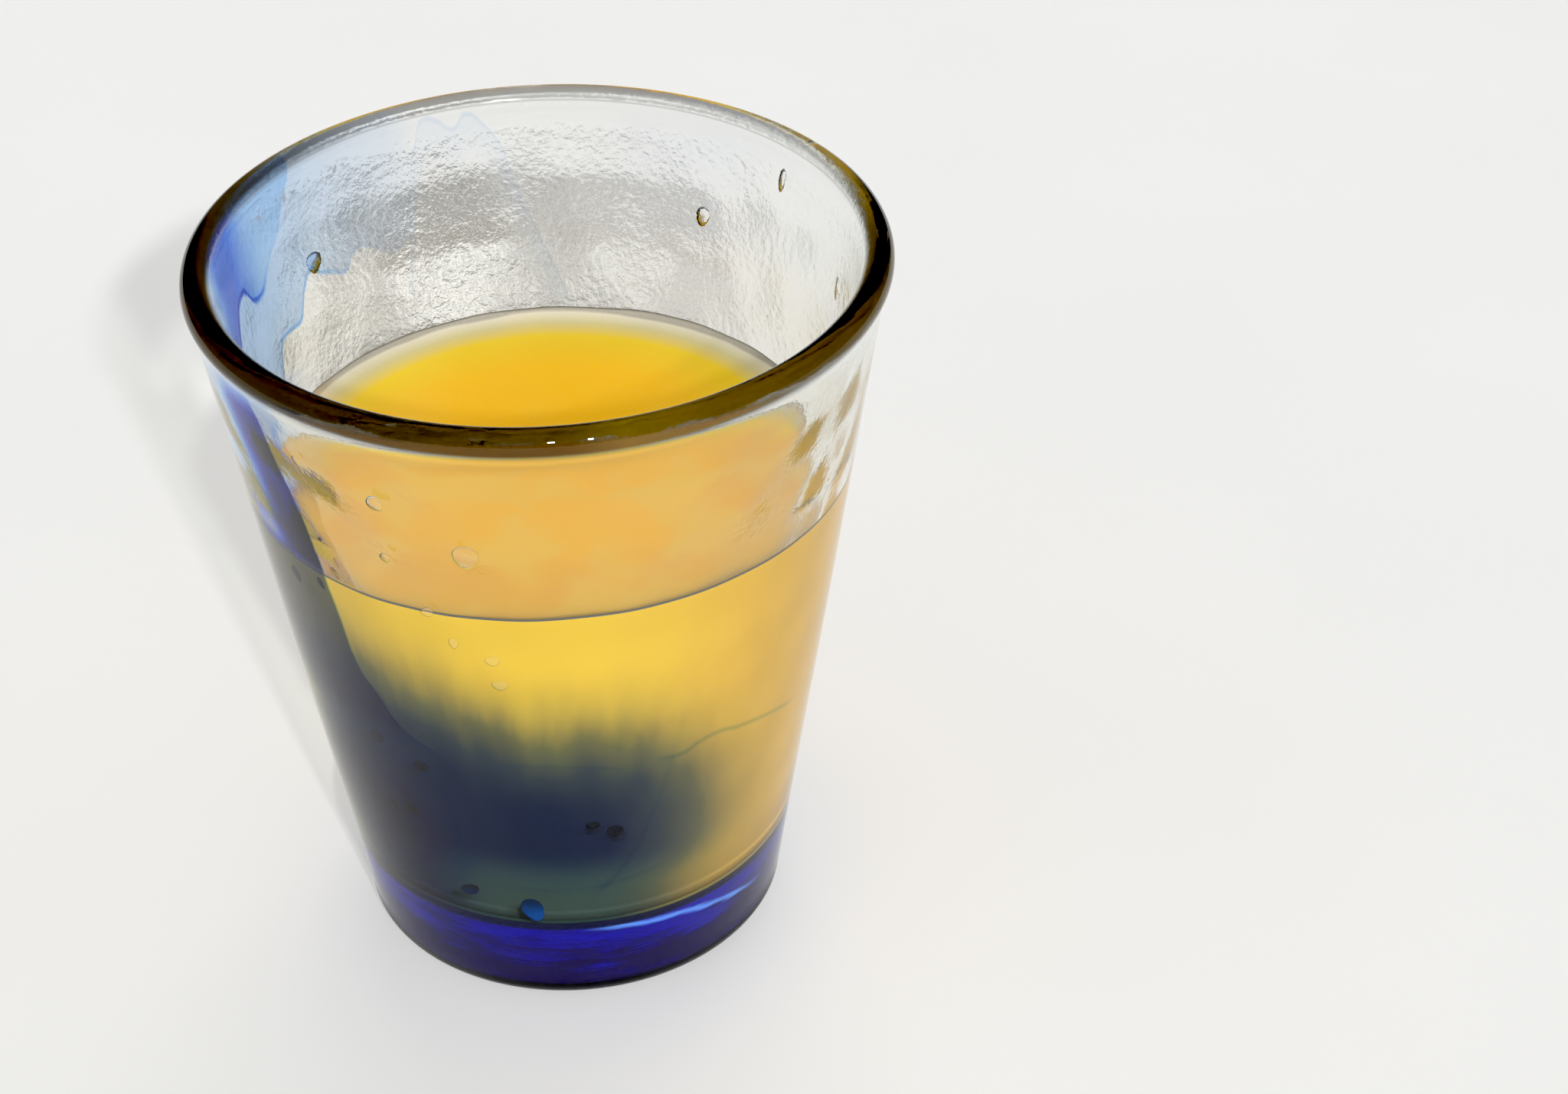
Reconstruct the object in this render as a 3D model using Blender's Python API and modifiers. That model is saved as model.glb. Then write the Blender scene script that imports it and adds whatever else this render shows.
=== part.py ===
"""A tumbler of orange juice.

The tumbler is one piece of glass, turned round the Z axis: a heavy base, a straight wall that
flares towards a thick rounded lip, and an inner face hammered into shallow hollows. The juice
fills it to a level two thirds of the way up, follows the hollows, and climbs a little at the wall.
Units are metres, +Z is up, and the glass stands on Z = 0 with its axis at the origin.
"""

import math
import random

import bpy

# The tumbler's outside
HEIGHT = 0.0995
LIP_OUTER_RADIUS = 0.0440
LIP_ROUND = 0.0019  # radius of the rounded lip
LIP_OVERHANG = 0.0005  # how far the lip stands out past the wall under it
HEEL_RADIUS = 0.0285  # outside radius just above the rounded heel
HEEL_ROUND = 0.0024

# The tumbler's inside
BASE_THICKNESS = 0.0120
WALL_AT_LIP = 0.0034
WALL_AT_FLOOR = 0.0062
FLOOR_ROUND = 0.0050  # fillet between the floor and the inner wall

# The hammered hollows of the inner wall
HOLLOW_DEPTH = 0.0006
HOLLOW_SPREAD = 0.0042  # how far from its middle a hollow still shows
HOLLOWS_AROUND = 22
HOLLOW_ROWS = 8
HOLLOW_PITCH = 0.0098  # from one row of hollows to the next
HOLLOW_SCATTER = 0.0016  # how far the hammer strays from an even pattern
LOWEST_HOLLOW = 0.0200
HOLLOW_FADE = 0.0080  # height over which the hollows fade out below the lip and above the floor
HOLLOW_SEED = 5

# The juice
JUICE_LEVEL = 0.0678
CREEP = 0.0016  # how far the juice climbs the wall
CREEP_LENGTH = 0.0014  # how quickly that climb dies away from the wall
CLEARANCE = 0.0003  # gap between the juice and the glass

# How finely the turned shapes are cut
SEGMENTS = 96
WALL_ROWS = 24
ARC_STEP = math.radians(22.5)

GLASS_COLOUR = (0.55, 0.66, 0.90, 1.0)
JUICE_COLOUR = (0.95, 0.60, 0.06, 1.0)

LIP_CENTRE = (LIP_OUTER_RADIUS - LIP_ROUND, HEIGHT - LIP_ROUND)


def clear_scene():
    for old in list(bpy.data.objects):
        bpy.data.objects.remove(old)


def new_collection(name):
    collection = bpy.data.collections.new(name)
    bpy.context.scene.collection.children.link(collection)
    return collection


def plain_material(name, colour, roughness, transmission):
    material = bpy.data.materials.new(name)
    material.use_nodes = True
    shader = material.node_tree.nodes["Principled BSDF"]
    shader.inputs["Base Color"].default_value = colour
    shader.inputs["Metallic"].default_value = 0.0
    shader.inputs["Roughness"].default_value = roughness
    shader.inputs["Transmission Weight"].default_value = transmission
    return material


def mix(start, end, share):
    return start + (end - start) * share


def smooth(value):
    """0 below 0 and 1 above 1, with an easy curve between."""
    value = min(max(value, 0.0), 1.0)
    return value * value * (3.0 - 2.0 * value)


def outer_radius(z):
    """The flared outside of the wall, from the heel to the lip."""
    share = (z - HEEL_ROUND) / (LIP_CENTRE[1] - HEEL_ROUND)
    return mix(HEEL_RADIUS, LIP_OUTER_RADIUS - LIP_OVERHANG, share)


def inner_radius(z):
    """The inner wall on the ridges between the hollows."""
    share = (z - BASE_THICKNESS) / (LIP_CENTRE[1] - BASE_THICKNESS)
    return outer_radius(z) - mix(WALL_AT_FLOOR, WALL_AT_LIP, share)


def hollow_centres():
    """Angle, height and strength of each hollow: staggered rows, each blow a little off its place."""
    draw = random.Random(HOLLOW_SEED)
    centres = []
    for row in range(HOLLOW_ROWS):
        height = LOWEST_HOLLOW + row * HOLLOW_PITCH
        for step in range(HOLLOWS_AROUND):
            angle = 2.0 * math.pi * (step + 0.5 * (row % 2)) / HOLLOWS_AROUND
            angle += draw.uniform(-1.0, 1.0) * HOLLOW_SCATTER / inner_radius(height)
            z = height + draw.uniform(-1.0, 1.0) * HOLLOW_SCATTER
            centres.append((angle, z, draw.uniform(0.55, 1.0)))
    return centres


def hollow(angle, z, centres):
    """How deep the hammered wall lies behind its ridges, at an angle round the axis and a height."""
    depth = 0.0
    for centre_angle, centre_z, strength in centres:
        turn = math.remainder(angle - centre_angle, 2.0 * math.pi)
        distance = math.hypot(turn * inner_radius(z), z - centre_z) / HOLLOW_SPREAD
        depth += strength * math.exp(-distance * distance)
    below_lip = smooth((HEIGHT - 2.0 * LIP_ROUND - z) / HOLLOW_FADE)
    above_floor = smooth((z - BASE_THICKNESS - FLOOR_ROUND) / HOLLOW_FADE)
    return HOLLOW_DEPTH * min(depth, 1.0) * below_lip * above_floor


def arc(centre, radius, start, end):
    """Points along an arc in the profile's plane, both ends included."""
    count = max(2, math.ceil(abs(end - start) / ARC_STEP))
    angles = [mix(start, end, i / count) for i in range(count + 1)]
    return [(centre[0] + radius * math.cos(a), centre[1] + radius * math.sin(a)) for a in angles]


def floor_fillet(inset):
    """The rounded corner from the floor up to the inner wall, moved in and up by inset."""
    radius = FLOOR_ROUND - inset
    centre_z = BASE_THICKNESS + FLOOR_ROUND
    centre = (inner_radius(centre_z) - FLOOR_ROUND, centre_z)
    return arc(centre, radius, -math.pi / 2.0, 0.0)


def inner_rows(top):
    """Heights of the inner wall's rows, shared by the glass and the juice so that they stay parallel."""
    first = BASE_THICKNESS + FLOOR_ROUND
    last = LIP_CENTRE[1] - LIP_ROUND
    rows = [mix(first, last, i / WALL_ROWS) for i in range(1, WALL_ROWS + 1)]
    spacing = (last - first) / WALL_ROWS
    return [z for z in rows if z < top - 0.4 * spacing]


def glass_profile():
    """From the middle of the floor, up the inside, over the lip and down the outside."""
    profile = [(0.0, BASE_THICKNESS)]
    profile += floor_fillet(0.0)
    profile += [(inner_radius(z), z) for z in inner_rows(LIP_CENTRE[1] - 0.5 * LIP_ROUND)]
    profile += arc(LIP_CENTRE, LIP_ROUND, math.radians(180.0), math.radians(-30.0))
    under_lip = LIP_CENTRE[1] - 1.4 * LIP_ROUND
    profile += [(outer_radius(z), z) for z in (under_lip, 0.75 * HEIGHT, 0.5 * HEIGHT, 0.25 * HEIGHT)]
    heel_centre = (HEEL_RADIUS - HEEL_ROUND, HEEL_ROUND)
    profile += arc(heel_centre, HEEL_ROUND, 0.0, -math.pi / 2.0)
    profile.append((0.0, 0.0))
    return profile


def juice_profile():
    """From the middle of the surface out to the wall, down the side and along the bottom."""
    contact = JUICE_LEVEL + CREEP
    edge = inner_radius(contact) - CLEARANCE
    profile = [(0.0, JUICE_LEVEL)]
    for reach in (6.0, 3.0, 2.0, 1.2, 0.5):
        climb = CREEP * math.exp(-reach)
        profile.append((edge - reach * CREEP_LENGTH, JUICE_LEVEL + climb))
    profile.append((edge, contact))
    profile += [(inner_radius(z) - CLEARANCE, z) for z in reversed(inner_rows(contact))]
    profile += reversed(floor_fillet(CLEARANCE))
    profile.append((0.0, BASE_THICKNESS + CLEARANCE))
    return profile


def turned(name, profile, material, collection):
    """A profile in the XZ plane, turned round Z by a Screw modifier, which is then applied."""
    line = bpy.data.meshes.new(name + "_profile")
    line.from_pydata([(x, 0.0, z) for x, z in profile], [(i, i + 1) for i in range(len(profile) - 1)], [])
    piece = bpy.data.objects.new(name, line)
    collection.objects.link(piece)
    screw = piece.modifiers.new("turn", "SCREW")
    screw.axis = "Z"
    screw.steps = screw.render_steps = SEGMENTS
    screw.use_merge_vertices = True
    screw.merge_threshold = 0.00001
    evaluated = piece.evaluated_get(bpy.context.evaluated_depsgraph_get())
    piece.data = bpy.data.meshes.new_from_object(evaluated)
    piece.data.name = name
    piece.modifiers.clear()
    bpy.data.meshes.remove(line)
    piece.data.materials.clear()
    piece.data.materials.append(material)
    return piece


def hammer(piece, centres, reach):
    """Presses the hollows into every vertex that lies within reach of the inner wall."""
    for vertex in piece.data.vertices:
        x, y, z = vertex.co
        radius = math.hypot(x, y)
        if z > BASE_THICKNESS and abs(radius - inner_radius(z)) < reach:
            scale = (radius + hollow(math.atan2(y, x), z, centres)) / radius
            vertex.co = (x * scale, y * scale, z)


def shade(piece, sharp_angle):
    piece.data.shade_smooth()
    piece.data.set_sharp_from_angle(angle=sharp_angle)


def build():
    clear_scene()
    collection = new_collection("glass_of_orange_juice")
    glass_material = plain_material("blue_swirled_glass", GLASS_COLOUR, 0.03, 1.0)
    juice_material = plain_material("orange_juice", JUICE_COLOUR, 0.12, 0.0)
    glass = turned("glass", glass_profile(), glass_material, collection)
    juice = turned("juice", juice_profile(), juice_material, collection)
    centres = hollow_centres()
    for piece in (glass, juice):
        hammer(piece, centres, 1.5 * CLEARANCE)
        shade(piece, math.radians(40.0))


build()
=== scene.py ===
# %% [markdown]
# # A tumbler of orange juice
# The real object is a heavy tumbler of clear glass with cobalt blue swirled through its left side,
# its foot and, in thin veils, its far wall. It is two thirds full of cloudy orange juice. This
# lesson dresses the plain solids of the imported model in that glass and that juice, in cells that
# can be read, and run, one after the other.

import math
import random

import bmesh
import bpy
import numpy as np
from mathutils import Matrix, Vector


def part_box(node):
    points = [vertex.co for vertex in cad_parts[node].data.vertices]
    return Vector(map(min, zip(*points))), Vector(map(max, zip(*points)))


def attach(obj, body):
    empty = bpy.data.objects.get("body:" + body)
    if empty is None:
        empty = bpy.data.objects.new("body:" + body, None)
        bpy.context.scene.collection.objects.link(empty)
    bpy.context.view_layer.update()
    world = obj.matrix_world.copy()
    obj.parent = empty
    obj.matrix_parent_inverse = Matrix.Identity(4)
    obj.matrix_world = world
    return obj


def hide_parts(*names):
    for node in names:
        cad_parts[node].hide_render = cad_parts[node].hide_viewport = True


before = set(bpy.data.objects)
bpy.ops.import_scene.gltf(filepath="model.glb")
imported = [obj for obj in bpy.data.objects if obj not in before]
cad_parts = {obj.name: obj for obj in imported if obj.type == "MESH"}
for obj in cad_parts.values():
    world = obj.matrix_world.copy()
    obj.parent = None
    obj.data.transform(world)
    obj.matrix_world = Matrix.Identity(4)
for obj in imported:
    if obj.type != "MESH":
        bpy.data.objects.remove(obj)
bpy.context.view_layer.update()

# %% [markdown]
# ## Sizes
# The glass's height and the juice's level are read from the imported solids, so that the fine glass
# can't drift away from the solid it stands for; the other outer sizes are given. The inner sizes
# repeat the ones the solid was turned from, except that the corner at the floor is tighter and the
# hollows are a little shallower. A tumbler is a turned shape, so nearly everything below is a radius
# at a height.

# %% The tumbler's sizes, in metres
_, glass_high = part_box("glass")
_, juice_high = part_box("juice")
HEIGHT = glass_high.z
LIP_OUTER_RADIUS = 0.0440
LIP_ROUND = 0.0019
LIP_OVERHANG = 0.0005
HEEL_RADIUS = 0.0285
HEEL_ROUND = 0.0024
BASE_THICKNESS = 0.0120
WALL_AT_LIP = 0.0034
WALL_AT_FLOOR = 0.0062
FLOOR_ROUND = 0.0026
LIP_CENTRE = (LIP_OUTER_RADIUS - LIP_ROUND, HEIGHT - LIP_ROUND)


def mix(start, end, share):
    return start + (end - start) * share


def outer_radius(z):
    share = (z - HEEL_ROUND) / (LIP_CENTRE[1] - HEEL_ROUND)
    return mix(HEEL_RADIUS, LIP_OUTER_RADIUS - LIP_OVERHANG, share)


def inner_radius(z):
    share = (z - BASE_THICKNESS) / (LIP_CENTRE[1] - BASE_THICKNESS)
    return outer_radius(z) - mix(WALL_AT_FLOOR, WALL_AT_LIP, share)


wall_at_juice = outer_radius(juice_high.z) - inner_radius(juice_high.z)
print("the wall is", round(1000.0 * wall_at_juice, 2), "mm thick where the juice ends")

# %% [markdown]
# ## The hammered inner wall
# The inside of the tumbler was hammered while it was soft: shallow hollows about 10 mm apart, in
# staggered rows, each blow a little off its place. They bend the light like small lenses, which no
# bump map does as well at this size, so they are moved vertices. The blows come from the same seeded
# draws as those in the solid, which keeps both in step. numpy works them out for all vertices at once.

# %% Where the blows fell, and how deep the wall lies behind its ridges
HOLLOW_DEPTH = 0.0005
HOLLOW_SPREAD = 0.0042
HOLLOWS_AROUND = 22
HOLLOW_ROWS = 8
HOLLOW_PITCH = 0.0098
HOLLOW_SCATTER = 0.0016
LOWEST_HOLLOW = 0.0200
HOLLOW_FADE = 0.0080
HOLLOW_SEED = 5


def hollow_centres():
    draw = random.Random(HOLLOW_SEED)
    centres = []
    for row in range(HOLLOW_ROWS):
        height = LOWEST_HOLLOW + row * HOLLOW_PITCH
        for step in range(HOLLOWS_AROUND):
            angle = 2.0 * math.pi * (step + 0.5 * (row % 2)) / HOLLOWS_AROUND
            angle += draw.uniform(-1.0, 1.0) * HOLLOW_SCATTER / inner_radius(height)
            z = height + draw.uniform(-1.0, 1.0) * HOLLOW_SCATTER
            centres.append((angle, z, draw.uniform(0.55, 1.0)))
    return centres


def smooth(value):
    value = np.clip(value, 0.0, 1.0)
    return value * value * (3.0 - 2.0 * value)


def hollow(angle, z):
    depth = np.zeros_like(z)
    for centre_angle, centre_z, strength in hollow_centres():
        turn = np.remainder(angle - centre_angle + math.pi, 2.0 * math.pi) - math.pi
        distance = np.hypot(turn * inner_radius(z), z - centre_z) / HOLLOW_SPREAD
        depth += strength * np.exp(-distance * distance)
    below_lip = smooth((HEIGHT - 2.0 * LIP_ROUND - z) / HOLLOW_FADE)
    above_floor = smooth((z - BASE_THICKNESS - FLOOR_ROUND) / HOLLOW_FADE)
    return HOLLOW_DEPTH * np.minimum(depth, 1.0) * below_lip * above_floor


print(len(hollow_centres()), "hollows, up to", 1000 * HOLLOW_DEPTH, "mm deep")

# %% [markdown]
# ## Turning a profile
# A glass blower turns the piece on a rod, and Blender's Screw modifier does the same to a line of
# points. The profile is drawn with arcs where the real outline is round, turned, and applied, so
# that its vertices can then be moved.

# %% Profiles and the Screw
FINE_ARC_STEP = math.radians(7.5)


def arc(centre, radius, start, end):
    count = max(2, math.ceil(abs(end - start) / FINE_ARC_STEP))
    angles = [mix(start, end, i / count) for i in range(count + 1)]
    return [(centre[0] + radius * math.cos(a), centre[1] + radius * math.sin(a)) for a in angles]


def rows_between(low, high, count):
    return [mix(low, high, i / count) for i in range(count + 1)]


def turned(name, profile, segments):
    line = bpy.data.meshes.new(name + "_profile")
    edges = [(i, i + 1) for i in range(len(profile) - 1)]
    line.from_pydata([(x, 0.0, z) for x, z in profile], edges, [])
    piece = bpy.data.objects.new(name, line)
    bpy.context.scene.collection.objects.link(piece)
    screw = piece.modifiers.new("turn", "SCREW")
    screw.axis = "Z"
    screw.steps = screw.render_steps = segments
    screw.use_merge_vertices = True
    screw.merge_threshold = 0.000001
    evaluated = piece.evaluated_get(bpy.context.evaluated_depsgraph_get())
    piece.data = bpy.data.meshes.new_from_object(evaluated)
    piece.data.name = name
    piece.modifiers.clear()
    bpy.data.meshes.remove(line)
    piece.data.shade_smooth()
    return piece


def vertices_of(piece):
    places = np.empty(3 * len(piece.data.vertices))
    piece.data.vertices.foreach_get("co", places)
    return places.reshape(-1, 3)


def move_vertices(piece, places):
    piece.data.vertices.foreach_set("co", places.ravel())
    piece.data.update()


def move_out(places, chosen, distance):
    """Moves the chosen places away from the axis by a distance."""
    radius = np.hypot(places[:, 0], places[:, 1])
    scale = np.ones_like(radius)
    scale[chosen] = (radius[chosen] + distance[chosen]) / radius[chosen]
    places[:, 0] *= scale
    places[:, 1] *= scale


# %% [markdown]
# ## The glass
# One closed mesh: from the middle of the inner floor, up the hammered wall, over the fire-polished
# lip, down the smooth outside, round the heel and under the foot. The outside gets a very slight
# waviness, because hand-made glass never reflects quite straight.

# %% The tumbler
GLASS_SEGMENTS = 384
INNER_ROWS = 140
OUTER_ROWS = 40
OUTER_WAVE = 0.00004


def tumbler_profile():
    fillet_z = BASE_THICKNESS + FLOOR_ROUND
    profile = [(0.0, BASE_THICKNESS)]
    profile += arc((inner_radius(fillet_z) - FLOOR_ROUND, fillet_z), FLOOR_ROUND, -math.pi / 2.0, 0.0)
    top_row = LIP_CENTRE[1] - 0.2 * LIP_ROUND
    profile += [(inner_radius(z), z) for z in rows_between(fillet_z, top_row, INNER_ROWS)[1:]]
    profile += arc(LIP_CENTRE, LIP_ROUND, math.radians(180.0), math.radians(-30.0))
    under_lip = LIP_CENTRE[1] - 1.4 * LIP_ROUND
    profile += [(outer_radius(z), z) for z in rows_between(under_lip, 2.0 * HEEL_ROUND, OUTER_ROWS)]
    profile += arc((HEEL_RADIUS - HEEL_ROUND, HEEL_ROUND), HEEL_ROUND, 0.0, -math.pi / 2.0)
    profile.append((0.0, 0.0))
    return profile


def make_tumbler():
    piece = turned("tumbler", tumbler_profile(), GLASS_SEGMENTS)
    places = vertices_of(piece)
    x, y, z = places.T.copy()
    radius = np.hypot(x, y)
    angle = np.arctan2(y, x)
    middle = 0.5 * (inner_radius(z) + outer_radius(z))
    inner = (radius < middle) & (z > BASE_THICKNESS + FLOOR_ROUND) & (z < LIP_CENTRE[1])
    outer = (radius > middle) & (z > HEEL_ROUND) & (z < LIP_CENTRE[1] - 1.4 * LIP_ROUND)
    move_out(places, inner, hollow(angle, z))
    wave = np.sin(5.0 * angle + 60.0 * z) + np.sin(3.0 * angle - 95.0 * z + 1.0)
    move_out(places, outer, OUTER_WAVE * wave)
    move_vertices(piece, places)
    return piece


tumbler = make_tumbler()
print("the tumbler has", len(tumbler.data.polygons), "faces")

# %% [markdown]
# ## Bubbles in the glass
# Glass gathered by hand traps air. In the photo the bubbles are flattened tears, 1 to 4 mm long. A
# clear bubble is a hole inside the solid: a closed shell whose faces look inwards, joined to the
# tumbler's own mesh, so that the ray tracer leaves the glass there and enters it again. The dark
# ones, which lie in the cobalt, are small opaque bodies in the wall, painted black as shade, and
# teal and blue low in the wall as painted light.

# %% Every bubble: angle round the axis, height, width, length, lean, thickness
BIG_BUBBLES = (
    (-101.0, 0.0797, 0.0038, 0.0034, 0.0, 0.0004),
    (-116.0, 0.0861, 0.0026, 0.0022, 50.0, 0.0004),
    (-132.0, 0.0885, 0.0006, 0.0012, 30.0, 0.0005),
    (-152.0, 0.0750, 0.0010, 0.0016, 20.0, 0.0007),
    (-110.0, 0.0697, 0.0020, 0.0014, 40.0, 0.0003),
    (-105.9, 0.0651, 0.0014, 0.0018, 0.0, 0.0003),
    (-98.8, 0.0627, 0.0022, 0.0016, 10.0, 0.0003),
    (-98.0, 0.0585, 0.0024, 0.0016, 0.0, 0.0003),
    (-116.4, 0.0774, 0.0016, 0.0014, 30.0, 0.0004),
    (144.6, 0.0840, 0.0034, 0.0030, 0.0, 0.0010),
    (59.7, 0.0838, 0.0026, 0.0030, 10.0, 0.0010),
    (41.1, 0.0930, 0.0016, 0.0036, 10.0, 0.0009),
    (15.8, 0.0858, 0.0014, 0.0034, -5.0, 0.0009),
)
BLUE_BUBBLES = (
    (-142.4, 0.0668, 0.0022, 0.0024, 25.0, 0.0008),
    (-134.1, 0.0683, 0.0012, 0.0018, 30.0, 0.0008),
    (-130.0, 0.0434, 0.0026, 0.0018, 15.0, 0.0008),
    (-119.1, 0.0411, 0.0028, 0.0016, 10.0, 0.0008),
    (-131.5, 0.0309, 0.0024, 0.0012, -5.0, 0.0008),
    (-125.0, 0.0318, 0.0030, 0.0018, -10.0, 0.0008),
    (-113.0, 0.0190, 0.0034, 0.0018, 25.0, 0.0008),
    (-97.0, 0.0168, 0.0034, 0.0042, 15.0, 0.0008),
    (-81.2, 0.0330, 0.0022, 0.0013, 0.0, 0.0008),
    (-76.2, 0.0314, 0.0026, 0.0020, -15.0, 0.0008),
)
TEAR = 0.35  # how much narrower a bubble's lower end is than its upper end


def bubble_frame(angle, z, depth, lean):
    """A matrix at a place in the wall: X along the wall, Y out of it, Z up it."""
    radius = outer_radius(z) - depth
    place = Matrix.Translation((radius * math.cos(angle), radius * math.sin(angle), z))
    return place @ Matrix.Rotation(angle - math.pi / 2.0, 4, "Z") @ Matrix.Rotation(lean, 4, "Y")


def add_bubble(bm, matrix, size):
    made = bmesh.ops.create_uvsphere(bm, u_segments=32, v_segments=20, radius=0.5)
    for vertex in made["verts"]:
        x, y, z = vertex.co
        taper = 1.0 - TEAR * (0.5 - z)
        vertex.co = matrix @ Vector((x * taper * size[0], y * taper * size[1], z * size[2]))


def bubble_mesh(name, bubbles, share_of_wall):
    """All of a list's bubbles in one mesh, their faces outwards."""
    bm = bmesh.new()
    for angle, z, width, length, lean, thickness in bubbles:
        deep = share_of_wall * (outer_radius(z) - inner_radius(z))
        matrix = bubble_frame(math.radians(angle), z, deep, math.radians(lean))
        add_bubble(bm, matrix, (width, thickness, length))
    mesh = bpy.data.meshes.new(name)
    bm.to_mesh(mesh)
    bm.free()
    mesh.shade_smooth()
    return mesh


def trap(piece, shells):
    """Joins the shells to the piece's mesh with their faces turned inwards."""
    shells.flip_normals()
    bm = bmesh.new()
    bm.from_mesh(piece.data)
    bm.from_mesh(shells)
    bm.to_mesh(piece.data)
    bm.free()
    bpy.data.meshes.remove(shells)


trap(tumbler, bubble_mesh("clear_bubbles", BIG_BUBBLES, 0.5))
blue_bubbles = bpy.data.objects.new("blue_bubbles", bubble_mesh("blue_bubbles", BLUE_BUBBLES, 0.3))
bpy.context.scene.collection.objects.link(blue_bubbles)
print("trapped", len(BIG_BUBBLES), "clear bubbles and", len(BLUE_BUBBLES), "dark ones in the wall")

# %% [markdown]
# ## The cobalt core of the foot
# The tumbler was begun with a gather of cobalt glass, which fills the foot under a skin of clear
# glass. Dense cobalt lets next to nothing through, so it is made as a body of its own inside the
# foot: what the eye meets there is its surface, lens-shaped below and dished above, under the floor.

# %% The core
CORE_SEGMENTS = 192
CORE_SKIN = 0.0007
CORE_PROFILE_INSIDE = ((0.0, 0.0114), (0.0195, 0.0114), (0.0220, 0.0119), (0.0240, 0.0130), (0.0258, 0.0137))
CORE_TOP = 0.0139
CORE_BOTTOM = 0.0010


def core_profile():
    profile = list(CORE_PROFILE_INSIDE)
    profile += [(outer_radius(z) - CORE_SKIN, z) for z in rows_between(CORE_TOP, 2.0 * HEEL_ROUND, 10)]
    centre = (HEEL_RADIUS - HEEL_ROUND, HEEL_ROUND + CORE_BOTTOM)
    profile += arc(centre, HEEL_ROUND - CORE_SKIN, 0.0, -math.pi / 2.0)
    profile.append((0.0, CORE_BOTTOM + CORE_SKIN))
    return profile


core = turned("cobalt_core", core_profile(), CORE_SEGMENTS)
print("the core has", len(core.data.polygons), "faces")

# %% [markdown]
# ## The juice
# A liquid has no shape of its own: it takes the tumbler's. Its mesh is turned from the inner wall
# and reaches a little way into the glass, because a gap, even a hair wide, would show as a silvery
# film of air. At the rim of its surface it climbs the wall in a meniscus.

# %% The juice, from the middle of its surface to the middle of its bottom
JUICE_SEGMENTS = 256
JUICE_ROWS = 90
INTO_THE_WALL = 0.00008
CREEP = 0.0016
CREEP_LENGTH = 0.0014
JUICE_LEVEL = juice_high.z - CREEP
CONTACT = juice_high.z


def juice_profile():
    edge = inner_radius(CONTACT) + INTO_THE_WALL
    profile = [(0.0, JUICE_LEVEL)]
    for i in range(41):
        reach = 8.0 * (1.0 - i / 40.0)
        profile.append((edge - reach * CREEP_LENGTH, JUICE_LEVEL + CREEP * math.exp(-reach)))
    fillet_z = BASE_THICKNESS + FLOOR_ROUND
    profile += [(inner_radius(z) + INTO_THE_WALL, z) for z in rows_between(CONTACT, fillet_z, JUICE_ROWS)[1:]]
    centre = (inner_radius(fillet_z) - FLOOR_ROUND, fillet_z)
    profile += arc(centre, FLOOR_ROUND + INTO_THE_WALL, 0.0, -math.pi / 2.0)
    profile.append((0.0, BASE_THICKNESS - INTO_THE_WALL))
    return profile


def make_juice():
    piece = turned("juice_fill", juice_profile(), JUICE_SEGMENTS)
    places = vertices_of(piece)
    x, y, z = places.T.copy()
    radius = np.hypot(x, y)
    # The surface follows the hollows at its edge and forgets them towards the middle.
    follows = smooth((radius - inner_radius(z) + 0.006) / 0.006)
    move_out(places, radius > 0.001, hollow(np.arctan2(y, x), z) * follows)
    move_vertices(piece, places)
    return piece


juice_fill = make_juice()
print("the juice has", len(juice_fill.data.polygons), "faces")

# %% [markdown]
# ## Writing materials as sums
# Blender's shader nodes are a calculator with wires. Long sums are easier to read as Python, so one
# small class wraps a socket and overloads the operators: `1 - mask * 0.5` adds the Math nodes. Any
# other node comes from one method, which is given the node's type, its settings and its sockets.

# %% The two classes that every material below is written with
class Wire:
    """A number that changes over a surface: a node's output, which Python's operators can be used on."""

    def __init__(self, finish, socket):
        self.finish = finish
        self.socket = socket

    def maths(self, operation, *values):
        sockets = dict(enumerate(values))
        return self.finish.node("Math", {"operation": operation}, sockets)

    def __add__(self, other):
        return self.maths("ADD", self, other)

    def __sub__(self, other):
        return self.maths("SUBTRACT", self, other)

    def __rsub__(self, other):
        return self.maths("SUBTRACT", other, self)

    def __mul__(self, other):
        return self.maths("MULTIPLY", self, other)

    def __truediv__(self, other):
        return self.maths("DIVIDE", self, other)

    def __pow__(self, other):
        return self.maths("POWER", self, other)

    def __neg__(self):
        return self.maths("MULTIPLY", self, -1.0)

    __radd__ = __add__
    __rmul__ = __mul__

    def size(self):
        return self.maths("ABSOLUTE", self)

    def rise(self, low, high):
        """0 below low, 1 above high, with an easy curve between; with low above high it falls."""
        settings = {"interpolation_type": "SMOOTHSTEP"}
        return self.finish.node("MapRange", settings, {"Value": self, "From Min": low, "From Max": high})

    def band(self, centre, reach):
        """1 at centre, 0 at reach to either side of it."""
        return (self - centre).size().rise(reach, 0.0)


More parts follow.
